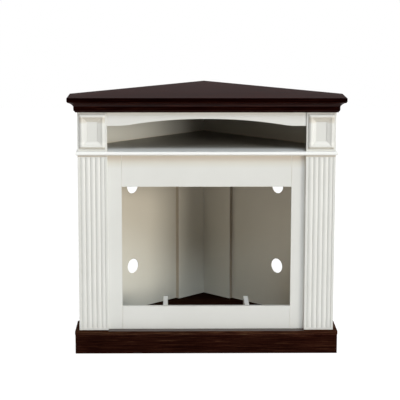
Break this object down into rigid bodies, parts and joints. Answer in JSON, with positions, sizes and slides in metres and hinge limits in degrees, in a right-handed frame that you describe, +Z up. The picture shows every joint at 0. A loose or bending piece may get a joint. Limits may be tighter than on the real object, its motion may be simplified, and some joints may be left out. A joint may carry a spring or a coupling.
{
  "type": "corner fireplace",
  "caption": "White and espresso corner mantel with an empty firebox opening, reeded pilasters, an arched media bay and a five-sided top with crown moulding.",
  "frame": {"origin": "on the floor, in the middle of the outer box", "axes": "+Z up, -Y out of the front towards the room, +Y into the room's corner, +X to the viewer's right"},
  "size_m": [1.067, 0.6974, 1.009],
  "materials": {
    "white_paint": "satin painted fibreboard",
    "espresso_finish": "satin dark espresso veneer",
    "raw_wood": "bare softwood, hidden inside"
  },
  "bodies": {
    "root": {"back_panel_left": "white_paint", "back_panel_right": "white_paint", "base_bearer_left": "raw_wood", "base_bearer_right": "raw_wood", "bottom_rail": "white_paint", "corner_board_left": "white_paint", "corner_board_right": "white_paint", "crown_front": "espresso_finish", "crown_side_left": "espresso_finish", "crown_side_right": "espresso_finish", "frieze_block_left": "white_paint", "frieze_block_right": "white_paint", "frieze_moulding_bottom_left": "white_paint", "frieze_moulding_bottom_right": "white_paint", "frieze_moulding_inner_left": "white_paint", "frieze_moulding_inner_right": "white_paint", "frieze_moulding_outer_left": "white_paint", "frieze_moulding_outer_right": "white_paint", "frieze_moulding_top_left": "white_paint", "frieze_moulding_top_right": "white_paint", "header_rail": "white_paint", "hearth_board": "espresso_finish", "hearth_cleat_left": "raw_wood", "hearth_cleat_right": "raw_wood", "insert_rail_left": "white_paint", "insert_rail_right": "white_paint", "media_shelf": "white_paint", "pilaster_left": "white_paint", "pilaster_right": "white_paint", "plinth_back_left": "espresso_finish", "plinth_back_right": "espresso_finish", "plinth_block_back": "raw_wood", "plinth_block_left": "raw_wood", "plinth_block_right": "raw_wood", "plinth_front": "espresso_finish", "plinth_side_left": "espresso_finish", "plinth_side_right": "espresso_finish", "shelf_cleat_left": "raw_wood", "shelf_cleat_right": "raw_wood", "side_panel_lower_left": "white_paint", "side_panel_lower_right": "white_paint", "side_panel_upper_left": "white_paint", "side_panel_upper_right": "white_paint", "stile_left": "white_paint", "stile_right": "white_paint", "top_board": "espresso_finish", "top_cleat_left": "raw_wood", "top_cleat_right": "raw_wood", "valance": "white_paint", "valance_block_left": "raw_wood", "valance_block_right": "raw_wood"}
  },
  "joints": []
}
